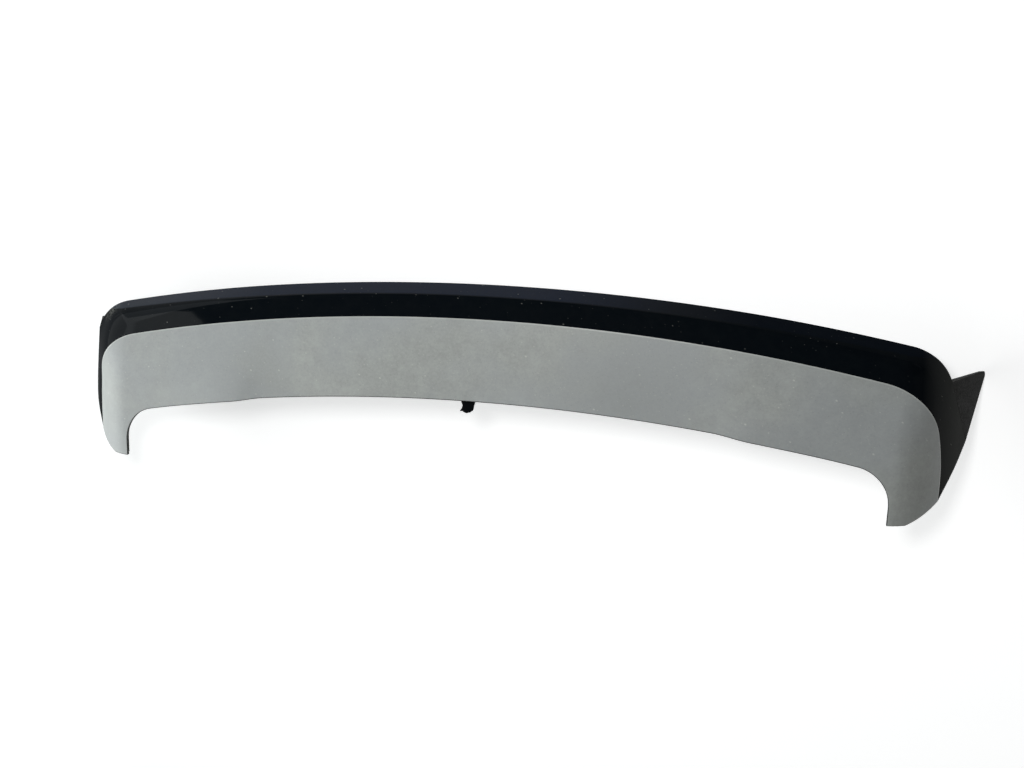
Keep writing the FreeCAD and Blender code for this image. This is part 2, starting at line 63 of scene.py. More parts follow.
# Sizes that the solids set, in metres and radians: X across, Y rearwards, Z up
SKIN_HEIGHT = 0.037
SKIN_PITCH = math.radians(11.0)
CHORD_RADIUS = 2.6
CROWN_RADIUS = 6.5
SKIN_WALL = 0.0025
RETURN_DROP = 0.0015
LEAD_Y = -0.0465
LEAD_RADIUS = 2.32
JOG_X = 0.315
JOG_RUN = 0.044
JOG = 0.002
HORN_INNER_X = 0.504
HORN_WIDTH = 0.063
HORN_CORNER_R = 0.050
HORN_TIP_Y = -0.165
HORN_TIP_WIDTH = 0.022
HORN_CUT = 0.023
HORN_CUT_BULGE = 0.0015
HORN_ROLL = 0.034
ROLL_START_Y = 0.040
ROLL_FULL_Y = -0.075
JOIN_Y = 0.0554
JOIN_RADIUS = 2.38
JOIN_CORNER_R = 0.090
SIDE_X = HORN_INNER_X + HORN_WIDTH
SIDE_REACH = 0.0105
SIDE_LEAN = math.radians(14.0)
SIDE_TURN = 0.012
EDGE_Y = 0.088
EDGE_RADIUS = 2.725
EDGE_CORNER_R = 0.060
EDGE_DROP = 0.045
CORNER_DROP = 0.036
CHEEK_DROP = 0.070
CHEEK_SPREAD = 0.0315
CHEEK_FRONT_X = SIDE_X + CHEEK_SPREAD
CHEEK_FRONT_Y = -0.0835
CHEEK_LEAN = math.radians(20.0)
RIM_WALL = 0.003
LIP_REACH = 0.8
LIP_FALL = 0.28
CHEEK_REACH = 0.56
CHEEK_FALL = 0.44
CHEEK_BLEND_START = 0.75
CORNER_LIFT_START = 0.6
CORNER_LIFT_RUN = 0.8
JOIN_GAP = 0.0004
JOIN_SINK = 0.0003
FLANGE_WIDTH = 0.012
FLANGE_WALL = 0.0025
GLUE = 0.0003
STUD_XS = (-0.390, -0.130, 0.130, 0.390)
STUD_R = 0.003
STUD_LENGTH = 0.022
STUD_TIP = 0.001
STUD_NECK_R = 0.0038
STUD_HEAD_WIDTH = 0.014
STUD_HEAD_WALL = 0.002
STUD_HEAD_LOW = 0.003

# Fine forms of the studs: rounding of the head, and depth of the thread as a share of its pitch
STUD_HEAD_EDGE = 0.0004
THREAD_DEPTH = 0.3

# Fine forms of the skin: the swell outside each jog of the leading edge
SWELL = 0.0022
SWELL_RUN = 0.050
SWELL_FADE_X = 0.350
SWELL_FADE_RUN = 0.100

# Widths of the painted shade line along the skin's front and of the painted highlight line along its rear
PAINTED_SHADE_LINE = 0.0009
PAINTED_HIGHLIGHT_LINE = 0.0014

# Scuffed patch at the left corner of the rim
SCUFF_PLACE = (-0.541, 0.024, -0.022)
SCUFF_REACH = 0.020

# Painted shade: faint dark spots on the paint beside the jogs: where each lies and how far it reaches
PAINTED_SHADE_SPOTS = (((-0.302, -0.045, 0.042), 0.075), ((0.176, -0.013, 0.042), 0.110))

# Cooler shade that clouds the paint
COOL_PAINT = (0.290, 0.308, 0.324)

# Painted reflection: a bluer black on the rear wall, and how far in from the rear edge it fades
PAINTED_REFLECTION_BLUE = (0.0024, 0.0071, 0.0196)
WALL_START = 0.0070
WALL_FULL = 0.0058

# Camera of the picture: where it stands, where it looks and its upward way
CAMERA_PLACE = Vector((0.29871, 0.384, 1.18845))
CAMERA_FORWARD = Vector((-0.20352, -0.32557, -0.92336))
CAMERA_UP = Vector((-0.07008, 0.94552, -0.31794))
CAMERA_LENS = 35.156
CAMERA_SENSOR = 36.0

# Lamps of the stage: name, place, aim, width, depth, power and tint
LAMPS = (
    ("left_box", (-2.3, -0.30, 1.15), (-0.2, 0, 0.75), 3.4, 2.6, 88, (0.97, 1.0, 0.99)),
    ("low_box", (-2.53, 1.62, 0.90), (-0.43, 0.05, 0.7), 1.4, 1.9, 20, (0.90, 0.96, 1.0)),
    ("right_box", (2.0, -0.2, 0.6), (0.3, 0, 0.3), 2.4, 1.2, 3.2, (1.0, 1.0, 0.98)),
    ("front_box", (-0.2, -2.0, 1.5), (0, 0, 0), 2.4, 1.2, 5, (1.0, 1.0, 0.99)),
    ("key_lamp", (0.112, 0.535, 1.176), (0, 0, 0), 0.20, 0.20, 7.4, (1.0, 1.0, 1.0)),
)

# Floor of the stage: its size, its gap under the part and its paleness
FLOOR_SIZE = 14
FLOOR_GAP = 0.001
FLOOR_WHITE = (0.75, 0.75, 0.75)

# Glow that makes the floor white: its least strength, and how much it gains between places along X
FLOOR_GLOW = 0.365
GLOW_GAINS = ((-0.65, -0.28, 0.10), (-0.28, 0.75, 0.12))

# Dim light from all round
WORLD_TINT = (0.93, 0.97, 1.0, 1)
WORLD_STRENGTH = 0.06

# Settings of the modelling: merging distance, angle of smooth shading, angles past which the edges of new
# pieces and of fins are rounded, and angle below which flat faces are joined
MERGE = 0.00001
SHADE_ANGLE = math.radians(40)
ROUND_ANGLE = math.radians(50)
FIN_ROUND_ANGLE = math.radians(40)
FLAT_ANGLE = math.radians(1)


class SpoilerSizes(bpy.types.PropertyGroup):
    """Roundings of the modelled pieces."""

    skin_edge: FloatProperty(
        name="Skin edge", description="Rounding of the painted skin's edges",
        default=0.0012, min=0.0, unit="LENGTH")
    rim_edge: FloatProperty(
        name="Rim edge", description="Rounding of the rim's outer edges",
        default=0.0005, min=0.0, unit="LENGTH")
    crease_soft: FloatProperty(
        name="Crease", description="Half width of the rounding along the rear crease",
        default=0.003, min=0.0, unit="LENGTH")
    corner_soft: FloatProperty(
        name="Corner", description="Half width of the rounding where the crease fades into the cheek",
        default=0.022, min=0.0, unit="LENGTH")
    thread_pitch: FloatProperty(
        name="Thread pitch", description="Pitch of the studs' thread",
        default=0.001, min=0.0005, unit="LENGTH")
    fin_edge: FloatProperty(
        name="Fin edge", description="Rounding of the fins' edges",
        default=0.0009, min=0.0, unit="LENGTH")


class SpoilerColours(bpy.types.PropertyGroup):
    """Colours of the finishes."""

    paint: FloatVectorProperty(
        name="Paint", description="Grey paint of the skin",
        default=(0.316, 0.329, 0.314), subtype="COLOR", min=0.0, max=1.0)
    gloss: FloatVectorProperty(
        name="Gloss black", description="Black of the rim",
        default=(0.0027, 0.0041, 0.0056), subtype="COLOR", min=0.0, max=1.0)
    texture: FloatVectorProperty(
        name="Textured black", description="Grained black of the fins and the lower shell",
        default=(0.0028, 0.0032, 0.0033), subtype="COLOR", min=0.0, max=1.0)
    dust: FloatVectorProperty(
        name="Dust", description="Dry dust that lies on the part",
        default=(0.36, 0.36, 0.33), subtype="COLOR", min=0.0, max=1.0)
    foam: FloatVectorProperty(
        name="Foam", description="Foam of the seals and stud pads",
        default=(0.03, 0.03, 0.032), subtype="COLOR", min=0.0, max=1.0)
    steel: FloatVectorProperty(
        name="Zinc steel", description="Plated steel of the studs and screws",
        default=(0.56, 0.55, 0.50), subtype="COLOR", min=0.0, max=1.0)


def smooth_step(value):
    """0 to 1 with no kink at either end."""
    value = min(1.0, max(0.0, value))
    return value * value * (3 - 2 * value)


def crown_height(x, y):
    """Height of the crowned top face, before the horns roll over."""
    fall = math.tan(SKIN_PITCH) * y + y * y / (2 * CHORD_RADIUS)
    return SKIN_HEIGHT - fall - x * x / (2 * CROWN_RADIUS)


def skin_height(x, y):
    """Height of the skin's top face, which rolls down towards the outer side of each horn."""
    across = max(0.0, (abs(x) - HORN_INNER_X) / (SIDE_X - HORN_INNER_X))
    forward = smooth_step((y - ROLL_START_Y) / (ROLL_FULL_Y - ROLL_START_Y))
    return crown_height(x, y) - HORN_ROLL * forward * across * across


def swell_height(x, y):
    """Swell of the skin outside each jog, which dies out rearwards and outwards."""
    rise = smooth_step((abs(x) - JOG_X) / JOG_RUN + 0.5)
    fade = 1 - smooth_step((abs(x) - SWELL_FADE_X) / SWELL_FADE_RUN)
    return SWELL * rise * fade * (1 - smooth_step((y - lead_y(x)) / SWELL_RUN))


class EdgePath:
    """Plan of one edge, right half: rear arc to station 1, corner to 2, side that may turn in to 3."""

    def __init__(self, crest, radius, corner_r, side, lean, turn_in=0.0):
        self.radius = radius
        self.turn_in = turn_in
        self.corner_r = corner_r
        self.centre = Vector((0, crest - radius, 0))
        ahead = Vector((math.sin(lean), -math.cos(lean), 0))
        outward = Vector((-ahead.y, ahead.x, 0))
        self.outward = outward
        near = side - outward * corner_r - self.centre
        along = near.dot(ahead)
        reach = (radius - corner_r) ** 2 - (near.dot(near) - along * along)
        self.corner = self.centre + near - ahead * (along + math.sqrt(reach))
        spoke = self.corner - self.centre
        self.turn = math.atan2(spoke.x, spoke.y)
        self.sweep = math.atan2(outward.x, outward.y)
        self.side_start = self.corner + outward * corner_r
        self.side_end = side

    def at(self, station):
        if station <= 1:
            angle = self.turn * station
            return self.centre + Vector((math.sin(angle), math.cos(angle), 0)) * self.radius
        if station <= 2:
            angle = self.turn + (self.sweep - self.turn) * (station - 1)
            return self.corner + Vector((math.sin(angle), math.cos(angle), 0)) * self.corner_r
        share = station - 2
        return self.side_start.lerp(self.side_end, share) - self.outward * (self.turn_in * share * share)


JOIN = EdgePath(JOIN_Y, JOIN_RADIUS, JOIN_CORNER_R,
                Vector((SIDE_X + SIDE_REACH, HORN_TIP_Y + HORN_CUT, 0)), SIDE_LEAN, SIDE_TURN)
EDGE = EdgePath(EDGE_Y, EDGE_RADIUS, EDGE_CORNER_R,
                Vector((CHEEK_FRONT_X, CHEEK_FRONT_Y, 0)), CHEEK_LEAN)
BEND = EdgePath(LEAD_Y - JOG, LEAD_RADIUS, HORN_CORNER_R,
                Vector((HORN_INNER_X, HORN_TIP_Y, 0)), 0.0)

# Stations along the front of a horn: end of its inner side, and end of its tip
SIDE_DONE = 2.75
TIP_DONE = 2.85


def lead_y(x):
    """Ordinate of the leading edge, jogs included."""
    jog = JOG * smooth_step((abs(x) - JOG_X) / JOG_RUN + 0.5)
    return LEAD_Y - LEAD_RADIUS + math.sqrt(LEAD_RADIUS ** 2 - x * x) - jog


def front_line(station):
    """Front of the skin, right half: leading edge, inner corner, inner side, tip and slanted cut."""
    if station <= 1:
        x = BEND.at(1).x * station
        return Vector((x, lead_y(x), 0))
    if station <= 2:
        return BEND.at(station)
    tip = Vector((HORN_INNER_X, HORN_TIP_Y, 0))
    outer = tip + Vector((HORN_TIP_WIDTH, 0, 0))
    if station <= SIDE_DONE:
        return BEND.at(2).lerp(tip, (station - 2) / (SIDE_DONE - 2))
    if station <= TIP_DONE:
        return tip.lerp(outer, (station - SIDE_DONE) / (TIP_DONE - SIDE_DONE))
    share = (station - TIP_DONE) / (3 - TIP_DONE)
    end = JOIN.at(3)
    away = (end - outer).cross(Vector((0, 0, 1))).normalized()
    return outer.lerp(end, share) + away * (HORN_CUT_BULGE * 4 * share * (1 - share))


def spread(low, high, count):
    """Even steps from a low value up to a high one, which is left out."""
    return [low + (high - low) * i / count for i in range(count)]


def both_sides(right):
    """Stations of the whole edge, from the right front round to the left front."""
    return right[::-1] + [-s for s in right[1:]]


def sided(point, station):
    """A point of the right half, moved to the left where the station is negative."""
    return Vector((-point.x, point.y, point.z)) if station < 0 else point


def rim_lines(station):
    """Join, crease and foot of the rim's outside at one station of the right half."""
    join = JOIN.at(station)
    foot = EDGE.at(station)
    join.z = skin_height(join.x, join.y)
    lift = smooth_step((station - CORNER_LIFT_START) / CORNER_LIFT_RUN)
    drop = EDGE_DROP + (CORNER_DROP - EDGE_DROP) * lift
    drop += (CHEEK_DROP - CORNER_DROP) * max(0, station - 2)
    foot.z = crown_height(foot.x, foot.y) - drop
    blend = smooth_step(station - CHEEK_BLEND_START)
    reach = LIP_REACH + (CHEEK_REACH - LIP_REACH) * blend
    fall = LIP_FALL + (CHEEK_FALL - LIP_FALL) * blend
    crease = join.lerp(foot, reach)
    crease.z = join.z + (foot.z - join.z) * fall
    return join, crease, foot


# Steps of the rim's cut, and the stations over which its crease softens
SOFT_START = 0.5
SOFT_RUN = 0.75
LIP_STEPS = 5
CREASE_STEPS = 8
WALL_STEPS = 4


def rim_section(station, soft):
    """Closed cut of the rim: flange, step, lip, rounded crease, wall and the inside."""
    join, crease, foot = rim_lines(station)
    before = rim_lines(max(0, station - 0.01))
    after = rim_lines(min(3, station + 0.01))
    outward = (after[0] - before[0]).cross(Vector((0, 0, -1)))
    outward.z = 0
    outward.normalize()

    def layer(reach, depth):
        place = join + outward * reach
        place.z = skin_height(place.x, place.y) - depth
        return place

    along = after[1] - before[1]
    lip = (crease - join).normalized()
    fall = (foot - crease).normalized()
    lip_out = along.cross(lip).normalized()
    fall_out = along.cross(fall).normalized()
    inner_crease = crease - (lip_out + fall_out) * (RIM_WALL / (1 + lip_out.dot(fall_out)))
    inner_foot = foot - fall_out * RIM_WALL
    inner_foot += fall * ((foot.z - inner_foot.z) / fall.z)
    depth = SKIN_WALL + GLUE
    top = layer(JOIN_GAP, JOIN_SINK)
    start = crease - lip * soft
    end = crease + fall * soft
    points = [layer(-FLANGE_WIDTH, depth), layer(JOIN_GAP, depth)]
    points += [top.lerp(start, i / LIP_STEPS) for i in range(LIP_STEPS)]
    for i in range(CREASE_STEPS + 1):
        share = i / CREASE_STEPS
        points.append(start.lerp(crease, share).lerp(crease.lerp(end, share), share))
    points += [end.lerp(foot, (i + 1) / WALL_STEPS) for i in range(WALL_STEPS)]
    points += [inner_foot, inner_crease, layer(0, depth + FLANGE_WALL)]
    points.append(layer(-FLANGE_WIDTH, depth + FLANGE_WALL))
    return points


class Wire:
    """A shader socket; arithmetic on wires adds Math nodes."""

    def __init__(self, finish, socket):
        self.finish = finish
        self.socket = socket

    def math(self, operation, one, two):
        return self.finish.node("ShaderNodeMath", {"operation": operation}, {0: one, 1: two}, 0)

    def __add__(self, other):
        return self.math("ADD", self, other)

    def __radd__(self, other):
        return self.math("ADD", other, self)

    def __sub__(self, other):
        return self.math("SUBTRACT", self, other)

    def __rsub__(self, other):
        return self.math("SUBTRACT", other, self)

    def __mul__(self, other):
        return self.math("MULTIPLY", self, other)

    def __rmul__(self, other):
        return self.math("MULTIPLY", other, self)


class Finish:
    """A material whose shader is one principled surface."""

    def __init__(self, name, **constants):
        self.material = bpy.data.materials.new(name)
        self.material.use_nodes = True
        self.tree = self.material.node_tree
        self.surface = self.tree.nodes["Principled BSDF"]
        for socket, value in constants.items():
            self.feed(socket.replace("_", " "), value)
        self.place = self.node("ShaderNodeTexCoord", {}, {}, "Object")

    def node(self, kind, settings, inputs, output):
        """Adds a node, makes its settings, joins or fills its inputs and gives one output."""
        node = self.tree.nodes.new(kind)
        for name, value in settings.items():
            if name == "stops":
                ramp = node.color_ramp.elements
                while len(ramp) < len(value):
                    ramp.new(1.0)
                for element, (position, shade) in zip(ramp, value):
                    element.position = position
                    element.color = (shade, shade, shade, 1)
            else:
                setattr(node, name, value)
        for name, value in inputs.items():
            self.join(node.inputs[name], value)
        return Wire(self, node.outputs[output])

    def join(self, socket, value):
        if isinstance(value, Wire):
            self.tree.links.new(value.socket, socket)
        elif hasattr(value, "__len__") and len(value) == 3 and socket.type == "RGBA":
            socket.default_value = (*value, 1.0)
        else:
            socket.default_value = value

    def feed(self, socket, value):
        self.join(self.surface.inputs[socket], value)

    def noise(self, scale, detail=3.0, rough=0.55):
        """Cloudy pattern over the piece's own place, from 0 to 1."""
        return self.node("ShaderNodeTexNoise", {}, {
            "Vector": self.place, "Scale": scale, "Detail": detail, "Roughness": rough}, "Fac")

    def along(self, axis):
        return self.node("ShaderNodeSeparateXYZ", {}, {"Vector": self.place}, axis)

    def unrolled(self):
        """The piece's own place laid out flat, so that a flat pattern doesn't streak on upright faces."""
        x, y, z = (self.along(axis) for axis in "XYZ")
        return self.node("ShaderNodeCombineXYZ", {}, {"X": x + y * 0.35, "Y": y - z}, "Vector")

    def specks(self, scale, size, share, flat=False):
        """Sparse round spots: the share of the cells that hold one, at a share of the cell's size."""
        cells = {"feature": "F1", "distance": "EUCLIDEAN", "voronoi_dimensions": "2D" if flat else "3D"}
        inputs = {"Vector": self.unrolled() if flat else self.place, "Scale": scale}
        distance = self.node("ShaderNodeTexVoronoi", cells, inputs, "Distance")
        tint = self.node("ShaderNodeTexVoronoi", cells, inputs, "Color")
        pick = self.node("ShaderNodeSeparateColor", {}, {"Color": tint}, "Red")
        spread_out = self.node("ShaderNodeSeparateColor", {}, {"Color": tint}, "Green")
        spot = self.ramp(distance + spread_out * (size * 0.6), (size * 0.6, 1.0), (size, 0.0))
        return spot * self.ramp(pick, (1 - share, 0.0), (1 - share + 0.02, 1.0))

    def far(self, place):
        """Distance from a place on the piece."""
        return self.node("ShaderNodeVectorMath", {"operation": "DISTANCE"}, {
            0: self.place, 1: place}, "Value")

    def near(self, place, reach):
        """1 at a place on the piece, falling to 0 at the reach."""
        return self.ramp(self.far(place), (0.0, 1.0), (reach, 0.0))

    def ramp(self, value, *stops):
        """A value remapped through stops of position and shade."""
        return self.node("ShaderNodeValToRGB", {"stops": stops}, {"Fac": value}, "Color")

    def mix(self, share, one, two):
        """Mix of two colours."""
        return self.node("ShaderNodeMix", {"data_type": "RGBA"}, {0: share, 6: one, 7: two}, 2)

    def bump(self, height, strength, distance):
        self.feed("Normal", self.node("ShaderNodeBump", {}, {
            "Height": height, "Strength": strength, "Distance": distance}, "Normal"))

    def rise(self, value, low, high):
        """0 to 1 ramp of a value between two limits."""
        return self.node("ShaderNodeMapRange", {"clamp": True}, {
            "Value": value, "From Min": low, "From Max": high}, "Result")

    def band(self, axis, low, high):
        """0 to 1 ramp along one axis of the piece's own place."""
        return self.rise(self.along(axis), low, high)


def colours():
    return bpy.context.scene.spoiler_colours


def sizes():
    return bpy.context.scene.spoiler_sizes


def shaded(colour, factor):
    return tuple(min(1.0, part * factor) for part in colour)


def grey_paint():
    """Satin grey paint under a film of dry dust, with fine mottling, smears, specks and spots of painted
    shade.
    """
    finish = Finish("grey_paint", Specular_IOR_Level=0.45)
    paint = tuple(colours().paint)
    dust = tuple(colours().dust)
    tone = finish.ramp(finish.noise(7.0, 2.0), (0.40, 0.0), (0.60, 1.0))
    cloud = finish.ramp(finish.noise(11.0, 4.0), (0.32, 0.0), (0.70, 1.0))
    blotch = finish.ramp(finish.noise(62.0, 3.0, 0.6), (0.34, 0.0), (0.68, 1.0))
    mottle = finish.ramp(finish.noise(300.0, 3.0, 0.65), (0.34, 0.0), (0.68, 1.0))
    patchy = cloud * 0.30 + blotch * 0.34 + mottle * 0.36
    shade = finish.mix(patchy, shaded(paint, 0.83), shaded(paint, 1.15))
    shade = finish.mix(tone * 0.45, shade, COOL_PAINT)
    # Painted shade: darker spots where the panel beside the jogs falls into shade
    for place, reach in PAINTED_SHADE_SPOTS:
        shade = finish.mix(finish.near(place, reach) * (0.15 + blotch * 0.25), shade, shaded(paint, 0.55))
    smear = finish.ramp(finish.noise(26.0, 5.0, 0.7), (0.60, 0.0), (0.78, 1.0))
    shade = finish.mix(smear * 0.22, shade, shaded(dust, 0.62))
    shade = finish.mix(finish.specks(300.0, 0.30, 0.16, True) * 0.26, shade, shaded(paint, 0.55))
    shade = finish.mix(finish.specks(210.0, 0.20, 0.12, True) * 0.24, shade, shaded(dust, 1.7))
    shade = finish.mix(finish.specks(44.0, 0.070, 0.26, True) * 0.32, shade, shaded(dust, 2.0))
    finish.feed("Base Color", shade)
    finish.feed("Roughness", 0.40 + mottle * 0.10 + cloud * 0.08)
    finish.bump(mottle, 0.06, 0.0004)
    return finish.material


def painted_edge_shade():
    """Painted shade: a dark line along the skin's front edge, where the edge turns away from the light."""
    finish = Finish("painted_edge_shade", Specular_IOR_Level=0.2)
    paint = tuple(colours().paint)
    # Noise that varies how dark the painted shade line is
    film = finish.ramp(finish.noise(240.0, 4.0, 0.7), (0.40, 0.0), (0.75, 1.0))
    finish.feed("Base Color", finish.mix(film, shaded(paint, 0.05), shaded(paint, 0.22)))
    finish.feed("Roughness", 0.6 + film * 0.2)
    return finish.material


def painted_edge_highlight():
    """Painted highlight: paler paint along the skin's rear edge, where its rounded edge catches the light.
    """
    finish = Finish("painted_edge_highlight", Roughness=0.4, Specular_IOR_Level=0.45)
    paint = tuple(colours().paint)
    highlight_noise = finish.noise(60.0, 3.0)
    finish.feed("Base Color", finish.mix(highlight_noise, shaded(paint, 1.10), shaded(paint, 1.45)))
    return finish.material


def gloss_black():
    """Deep gloss black with painted reflection on the rear wall, dusty cheeks, a dull right half and one
    scuffed corner.
    """
    finish = Finish("gloss_black", Specular_IOR_Level=0.0, Coat_Roughness=0.05, Coat_IOR=1.5)
    black = tuple(colours().gloss)
    dust = tuple(colours().dust)
    film = finish.ramp(finish.noise(70.0, 5.0, 0.7), (0.42, 0.0), (0.75, 1.0))
    side = finish.band("X", 0.53, 0.585) + finish.band("X", -0.575, -0.60)
    scuff = finish.near(SCUFF_PLACE, SCUFF_REACH)
    scratch = finish.ramp(finish.noise(330.0, 4.0, 0.75), (0.47, 0.0), (0.56, 1.0))
    wall = finish.rise(finish.far(EDGE.centre), EDGE_RADIUS - WALL_START, EDGE_RADIUS - WALL_FULL)
    # Painted reflection: the rear wall is mixed towards blue, fading out towards the right
    shade = finish.mix(wall * (1.0 - finish.band("X", 0.10, 0.24) * 0.8), black, PAINTED_REFLECTION_BLUE)
    # Painted reflection: dust colour lightens the left part of the rear wall; the cheeks and the film get
    # real dust
    painted_left_reflection = wall * finish.band("X", -0.30, -0.50) * 0.07
    shade = finish.mix(side * 0.13 + film * 0.004 + painted_left_reflection, shade, dust)
    shade = finish.mix(scuff * scratch * 0.30, shade, dust)
    shade = finish.mix(finish.specks(120.0, 0.10, 0.12, True) * 0.10, shade, dust)
    shade = finish.mix(finish.specks(38.0, 0.062, 0.30, True) * 0.24, shade, dust)
    finish.feed("Base Color", shade)
    finish.feed("Roughness", 0.5 + film * 0.2)
    gleam = 0.16 - finish.band("X", 0.06, 0.34) * 0.14 + finish.band("X", 0.53, 0.585) * 0.03
    gleam = gleam * (1.0 - finish.band("X", -0.46, -0.58) * 0.5) * (1.0 - wall * 0.22)
    gleam = gleam * (1.0 - (1.0 - wall) * finish.band("X", -0.22, -0.40) * 0.30)
    finish.feed("Coat Weight", gleam * (1.0 - scuff * scratch * 0.8))
    finish.bump(finish.noise(420.0, 2.0), 0.012, 0.0003)
    return finish.material


def textured_black():
    """Grained black plastic, dusty in its grain."""
    finish = Finish("textured_black", Specular_IOR_Level=0.03)
    black = tuple(colours().texture)
    dust = tuple(colours().dust)
    grain = finish.node("ShaderNodeTexVoronoi", {"feature": "SMOOTH_F1"}, {
        "Vector": finish.place, "Scale": 700.0, "Smoothness": 0.6}, "Distance")
    film = finish.ramp(finish.noise(60.0, 5.0, 0.7), (0.36, 0.0), (0.72, 1.0))
    fine = finish.ramp(finish.noise(420.0, 3.0, 0.7), (0.36, 0.0), (0.68, 1.0))
    shade = finish.mix(film * 0.030 + fine * 0.026 + grain * 0.018, black, dust)
    shade = finish.mix(finish.specks(120.0, 0.16, 0.10) * 0.12, shade, dust)
    finish.feed("Base Color", shade)
    finish.feed("Roughness", 0.55 + film * 0.15)
    finish.bump(grain, 0.45, 0.0008)
    return finish.material


def clip_black():
    """Plain black plastic of the tab, a little paler where it has broken."""
    finish = Finish("clip_black", Specular_IOR_Level=0.04)
    black = tuple(colours().gloss)
    pale = finish.band("Y", -0.0600, -0.0640) * finish.ramp(finish.noise(500.0), (0.45, 0.0), (0.7, 1.0))
    finish.feed("Base Color", finish.mix(pale * 0.02, shaded(black, 0.5), (0.2, 0.2, 0.2)))
    finish.feed("Roughness", 0.45 + pale * 0.3)
    finish.bump(finish.noise(700.0), 0.08, 0.0004)
    return finish.material


def foam():
    """Closed-cell foam with small pores."""
    finish = Finish("foam", Roughness=0.95, Specular_IOR_Level=0.2)
    base = tuple(colours().foam)
    pores = finish.specks(900.0, 0.42, 0.75)
    finish.feed("Base Color", finish.mix(pores * 0.6, base, shaded(base, 0.4)))
    finish.bump(1.0 - pores, 0.6, 0.0006)
    return finish.material


def zinc_steel():
    """Zinc plate with a faint grain and dull patches."""
    finish = Finish("zinc_steel", Metallic=1.0)
    steel = tuple(colours().steel)
    dull = finish.ramp(finish.noise(220.0, 4.0), (0.35, 0.0), (0.7, 1.0))
    finish.feed("Base Color", finish.mix(dull, steel, shaded(steel, 0.72)))
    finish.feed("Roughness", 0.30 + dull * 0.2)
    return finish.material


def dress(piece, material):
    """Gives a piece its material and its body."""
    piece.data.materials.clear()
    piece.data.materials.append(material)
    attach(piece, "root")


def paint_nodes(material, names):
    """Puts a material on solids that stay as they are."""
    for name in names:
        node = NODES[name]
        for place in node.material_slots:
            place.material = material


def clear_selection():
    bpy.ops.object.select_all(action="DESELECT")


def grid_piece(name, stations, rows, place):
    """A grid primitive whose every corner is set from its station and row."""
    clear_selection()
    columns = len(stations) - 1
    bpy.ops.mesh.primitive_grid_add(x_subdivisions=columns, y_subdivisions=rows, size=1.0)
    piece = bpy.context.object
    piece.name = name
    piece.data.name = name
    for corner in piece.data.vertices:
        column = round((corner.co.x + 0.5) * columns)
        row = round((corner.co.y + 0.5) * rows)
        corner.co = place(stations[column], row)
    return piece


def plan_spot(point):
    """Rounded place of a point in plan, to find it again."""
    return round(point.x, 5), round(point.y, 5)


def select_edges(piece, test):
    """Selects the edges whose two ends pass a test; the piece is left in edit mode."""
    bpy.ops.object.mode_set(mode="EDIT")
    bpy.ops.mesh.select_mode(type="EDGE")
    bpy.ops.mesh.select_all(action="DESELECT")
    bpy.ops.object.mode_set(mode="OBJECT")
    corners = piece.data.vertices
    count = 0
    for edge in piece.data.edges:
        one, two = (corners[i].co for i in edge.vertices)
        edge.select = test(one, two)
        count += edge.select
    if not count:
        raise RuntimeError("no edge of %s passes the test" % piece.name)
    bpy.ops.object.mode_set(mode="EDIT")


def close_ends():
    """Merges doubles and fills the open ends of the active piece, which is left in edit mode."""
    bpy.ops.object.mode_set(mode="EDIT")
    bpy.ops.mesh.select_all(action="SELECT")
    bpy.ops.mesh.remove_doubles(threshold=MERGE)
    bpy.ops.mesh.select_all(action="DESELECT")
    bpy.ops.mesh.select_mode(type="EDGE")
    bpy.ops.mesh.select_non_manifold()
    bpy.ops.mesh.edge_face_add()


def finish_mesh():
    """Merges doubles, turns faces outwards and smooths the shading of gentle edges."""
    bpy.ops.object.mode_set(mode="EDIT")
    bpy.ops.mesh.select_all(action="SELECT")
    bpy.ops.mesh.remove_doubles(threshold=MERGE)
    bpy.ops.mesh.normals_make_consistent(inside=False)
    bpy.ops.object.mode_set(mode="OBJECT")
    bpy.ops.object.shade_smooth_by_angle(angle=SHADE_ANGLE)


def apply_modifier(piece, kind, **settings):
    """Adds a modifier with its settings and applies it."""
    bpy.ops.object.modifier_add(type=kind)
    modifier = piece.modifiers[-1]
    for name, value in settings.items():
        setattr(modifier, name, value)
    bpy.ops.object.modifier_apply(modifier=modifier.name)


